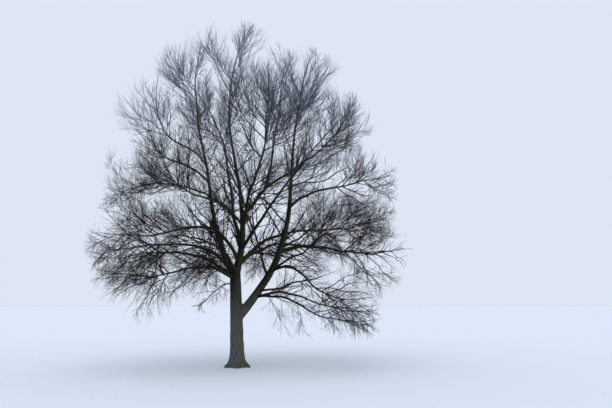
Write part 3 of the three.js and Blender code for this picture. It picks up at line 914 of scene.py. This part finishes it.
def read_vertices(mesh, normals=False):
    """The places of a mesh's vertices, or their normals."""
    values = np.empty(len(mesh.vertices) * 3, dtype=np.float32)
    if normals:
        mesh.vertex_normals.foreach_get("vector", values)
    else:
        mesh.vertices.foreach_get("co", values)
    return values.reshape(-1, 3).astype(float)


def write_vertices(mesh, spots):
    mesh.vertices.foreach_set("co", spots.astype(np.float32).ravel())
    mesh.update()


def nearest_on(limb, until, spots):
    """The share of a limb's length nearest to each spot, and the distance from its axis there."""
    shares = np.linspace(0, until, SEARCH_STEPS + 1)
    places = limb.bows.points(shares)[0]
    best = np.full(len(spots), np.inf)
    share = np.zeros(len(spots))
    for step in range(SEARCH_STEPS):
        foot, run = places[step], places[step + 1] - places[step]
        mix = np.clip((spots - foot) @ run / (run @ run), 0, 1)
        away = np.linalg.norm(spots - foot - mix[:, None] * run, axis=1)
        closer = away < best
        best[closer] = away[closer]
        share[closer] = shares[step] + mix[closer] * (shares[step + 1] - shares[step])
    return share, best


def follow_wood(spots, skeleton):
    """For each spot how far off the second nearest limb is, and its place in the grain and girth of the nearest."""
    first = np.full(len(spots), np.inf)
    second = np.full(len(spots), np.inf)
    grain = np.zeros((len(spots), 3))
    girth = np.zeros(len(spots))
    for limb, until in skeleton:
        share, away = nearest_on(limb, until, spots)
        _, side, across = (v[0] for v in square_to(limb.bows, share, 0.0))
        offset = spots - limb.bows.points(share)[0]
        angle = np.arctan2(np.sum(offset * across, axis=1), np.sum(offset * side, axis=1))
        radius = limb.radius_at(share, angle)
        depth = away - radius
        nearest = depth < first
        second = np.where(nearest, first, np.minimum(second, depth))
        first = np.where(nearest, depth, first)
        along = share * limb.span / FURROW_RUN + GRAIN_SHIFT * limb.bows.phases[0].ravel()[0]
        here = np.stack(
            [np.cos(angle) * radius / FURROW_WIDTH, np.sin(angle) * radius / FURROW_WIDTH, along], axis=1)
        grain[nearest] = here[nearest]
        girth[nearest] = radius[nearest]
    return second, grain, girth


def fill_forks(mesh, spots, second):
    """Draws each spot towards its neighbours, most of all where a second limb is near."""
    weight = np.maximum(np.exp(-((np.maximum(second, 0) / FILLET) ** 2)), EVEN_OUT)[:, None]
    edges = np.empty(len(mesh.edges) * 2, dtype=np.int32)
    mesh.edges.foreach_get("vertices", edges)
    a, b = edges.reshape(-1, 2).T
    ends, others = np.concatenate([a, b]), np.concatenate([b, a])
    number = np.bincount(ends, minlength=len(spots))[:, None]
    for _ in range(FILLET_TURNS):
        totals = [np.bincount(ends, weights=spots[others, k], minlength=len(spots)) for k in range(3)]
        spots += weight * FILLET_PULL * (np.stack(totals, axis=1) / number - spots)


def furrow_height(spots, grain, girth):
    """How far the bark stands out at each spot. Furrows are wavy lines along the grain, fainter on thin limbs."""
    warped = [noise.noise(Vector(row) * GRAIN_WARP_RATE) * GRAIN_WARP for row in grain]
    lines = np.array([noise.noise(Vector((x + w, y - w, z))) for (x, y, z), w in zip(grain, warped)])
    lumps = np.array([noise.noise(Vector(spot) / LUMP_SIZE) for spot in spots])
    furrow = np.exp(-((lines / FURROW_SHARPNESS) ** 2))
    return (lumps * LUMP_DEPTH - furrow * FURROW_DEPTH) * np.clip(girth / BREAST_RADIUS, FURROW_LEAST, 1)


def carve(mesh, skeleton):
    """Fills the forks, lays furrows along the wood and keeps the flat cut on the ground."""
    spots = read_vertices(mesh)
    second, grain, girth = follow_wood(spots, skeleton)
    fill_forks(mesh, spots, second)
    write_vertices(mesh, spots)
    spots += read_vertices(mesh, normals=True) * furrow_height(spots, grain, girth)[:, None]
    spots[:, 2] = np.where(spots[:, 2] < FUSED_CELL, 0, spots[:, 2])
    write_vertices(mesh, spots)
    mesh.polygons.foreach_set("use_smooth", np.ones(len(mesh.polygons), dtype=bool))


# Materials


def node_material(name):
    material = bpy.data.materials.new(name)
    material.use_nodes = True
    nodes, links = material.node_tree.nodes, material.node_tree.links
    shader = nodes["Principled BSDF"]
    shader.inputs["Roughness"].default_value = ROUGHNESS
    shader.inputs["Specular IOR Level"].default_value = SPECULAR
    return material, nodes, links, shader


def noise_node(nodes, links, vector, scale, detail=4.0, roughness=0.6):
    texture = nodes.new("ShaderNodeTexNoise")
    texture.inputs["Scale"].default_value = scale
    texture.inputs["Detail"].default_value = detail
    texture.inputs["Roughness"].default_value = roughness
    links.new(vector, texture.inputs["Vector"])
    return texture.outputs["Fac"]


def ramp_node(nodes, links, value, stops, colours):
    ramp = nodes.new("ShaderNodeValToRGB")
    for element, place, colour in zip(ramp.color_ramp.elements, stops, colours):
        element.position = place
        element.color = (*colour, 1)
    links.new(value, ramp.inputs["Fac"])
    return ramp.outputs["Color"]


def streak_node(nodes, links, streaks, colour, shade):
    """A colour that falls to a shade of itself between the streaks."""
    return ramp_node(nodes, links, streaks, STREAK_STOPS, (tuple(shade * c for c in colour), colour))


def mix_colours(nodes, links, factor, first, second):
    mix = nodes.new("ShaderNodeMix")
    mix.data_type = "RGBA"
    links.new(factor, mix.inputs["Factor"])
    links.new(first, mix.inputs[MIX_FIRST])
    links.new(second, mix.inputs[MIX_SECOND])
    return mix.outputs[MIX_RESULT]


def map_range(nodes, links, value, low, high):
    ranged = nodes.new("ShaderNodeMapRange")
    ranged.inputs["From Min"].default_value = low
    ranged.inputs["From Max"].default_value = high
    links.new(value, ranged.inputs["Value"])
    return ranged.outputs["Result"]


def green_share(nodes, links, place):
    """How green the bark is: in blotches, and most on the upper right side. The green is partly algae and partly
    painted light.
    """
    blotches = noise_node(nodes, links, place, BLOTCH_SCALE)
    facing = nodes.new("ShaderNodeVectorMath")
    facing.operation = "DOT_PRODUCT"
    facing.inputs[1].default_value = ALGAE_AND_LIT_SIDE
    links.new(nodes.new("ShaderNodeNewGeometry").outputs["Normal"], facing.inputs[0])
    patchy = nodes.new("ShaderNodeMath")
    patchy.operation = "MULTIPLY_ADD"
    patchy.inputs[1].default_value = BLOTCH_SHARE
    links.new(blotches, patchy.inputs[0])
    links.new(facing.outputs["Value"], patchy.inputs[2])
    return map_range(nodes, links, patchy.outputs["Value"], GREEN_FROM, GREEN_TO)


def bark_material(name, bark):
    """Streaky furrowed bark. Its tone and its green change with the height."""
    material, nodes, links, shader = node_material(name)
    place = nodes.new("ShaderNodeTexCoord").outputs["Object"]
    stretch = nodes.new("ShaderNodeMapping")
    stretch.inputs["Scale"].default_value = STREAK_STRETCH
    links.new(place, stretch.inputs["Vector"])
    streaks = noise_node(nodes, links, stretch.outputs["Vector"], STREAK_SCALE, STREAK_DETAIL, STREAK_ROUGHNESS)
    split = nodes.new("ShaderNodeSeparateXYZ")
    links.new(place, split.inputs["Vector"])
    up = map_range(nodes, links, split.outputs["Z"], bark.low, bark.high)
    low_tone = streak_node(nodes, links, streaks, bark.low_tone, LOW_SHADE)
    high_tone = streak_node(nodes, links, streaks, bark.high_tone, SHADE)
    low_green = streak_node(nodes, links, streaks, bark.low_green, SHADE)
    high_green = streak_node(nodes, links, streaks, bark.high_green, SHADE)
    tone = mix_colours(nodes, links, up, low_tone, high_tone)
    green = mix_colours(nodes, links, up, low_green, high_green)
    # The green on the upper right side is partly algae and partly painted light
    colour = mix_colours(nodes, links, green_share(nodes, links, place), tone, green)
    links.new(colour, shader.inputs["Base Color"])
    bump = nodes.new("ShaderNodeBump")
    bump.inputs["Strength"].default_value = BUMP_STRENGTH
    bump.inputs["Distance"].default_value = BUMP_DEPTH
    links.new(streaks, bump.inputs["Height"])
    links.new(bump.outputs["Normal"], shader.inputs["Normal"])
    return material


def twig_material(name, dark, pale):
    """Smooth young bark that varies from twig to twig."""
    material, nodes, links, shader = node_material(name)
    place = nodes.new("ShaderNodeTexCoord").outputs["Object"]
    spots = noise_node(nodes, links, place, TWIG_SCALE, TWIG_DETAIL)
    links.new(ramp_node(nodes, links, spots, TWIG_STOPS, (dark, pale)), shader.inputs["Base Color"])
    return material


# Stage, light and camera


def make_stage():
    """A plain pale floor and a soft pale sky."""
    mesh = bpy.data.meshes.new("floor")
    half = FLOOR_SIZE / 2
    corners = [(-half, -half, 0), (half, -half, 0), (half, half, 0), (-half, half, 0)]
    mesh.from_pydata(corners, [], [(0, 1, 2, 3)])
    floor = bpy.data.objects.new("floor", mesh)
    bpy.context.scene.collection.objects.link(floor)
    material, _, _, shader = node_material("pale_floor")
    shader.inputs["Base Color"].default_value = (*FLOOR_COLOUR, 1)
    mesh.materials.append(material)
    world = bpy.data.worlds.new("pale_sky")
    world.use_nodes = True
    world.node_tree.nodes["Background"].inputs["Color"].default_value = (*SKY_COLOUR, 1)
    bpy.context.scene.world = world
    bpy.context.scene.view_settings.view_transform = "Standard"


def add_sun():
    light = bpy.data.lights.new("soft_key", "SUN")
    light.energy = SUN_STRENGTH
    light.angle = math.radians(SUN_SOFTNESS)
    light.color = SUN_COLOUR
    lamp = bpy.data.objects.new("soft_key", light)
    elevation = math.radians(SUN_ELEVATION)
    way = outward(SUN_AZIMUTH) * math.cos(elevation) + UP * math.sin(elevation)
    lamp.rotation_euler = Vector(way).to_track_quat("Z", "Y").to_euler()
    bpy.context.scene.collection.objects.link(lamp)


def add_camera():
    camera = bpy.data.cameras.new("camera")
    camera.lens = CAMERA_LENS
    camera.sensor_width = CAMERA_SENSOR
    camera.clip_end = FAR_CLIP
    eye = bpy.data.objects.new("camera", camera)
    eye.location = CAMERA_PLACE
    yaw, pitch = math.radians(CAMERA_YAW), math.radians(CAMERA_PITCH)
    way = Vector((math.sin(yaw) * math.cos(pitch), math.cos(yaw) * math.cos(pitch), math.sin(pitch)))
    eye.rotation_euler = way.to_track_quat("-Z", "Y").to_euler()
    bpy.context.scene.collection.objects.link(eye)
    bpy.context.scene.camera = eye


def main():
    add_camera()
    make_stage()
    add_sun()
    trunk = make_trunk()
    known = {"trunk": trunk}
    for index, row in enumerate(LIMBS):
        known[row.name] = make_limb(row, known[row.parent], index + 1)
    branches = [known[row.name] for row in LIMBS]
    boughs = [limb for limb in branches if limb.row.twigs]
    stem_seeds = child_seed(seeds(STEM_SEED), np.arange(len(boughs)))
    stems = [make_stem(limb, seed) for limb, seed in zip(boughs, stem_seeds)]
    trunk_bark, bough_bark = bark_material("trunk_bark", TRUNK_BARK), bark_material("bough_bark", BOUGH_BARK)
    twig_bark = [twig_material(f"twig_bark_{k + 1}", *tones) for k, tones in enumerate(TWIG_TONES)]
    make_trunk_bark(trunk, branches, trunk_bark)
    make_boughs(boughs, bough_bark)
    crowd = Crowd()
    for stem in stems:
        make_mass(stem, stems, [trunk] + branches, twig_bark + [bough_bark], crowd)
    make_inner_shoots([limb for limb in branches if limb.name in MAIN_LIMBS], twig_bark, crowd)


main()
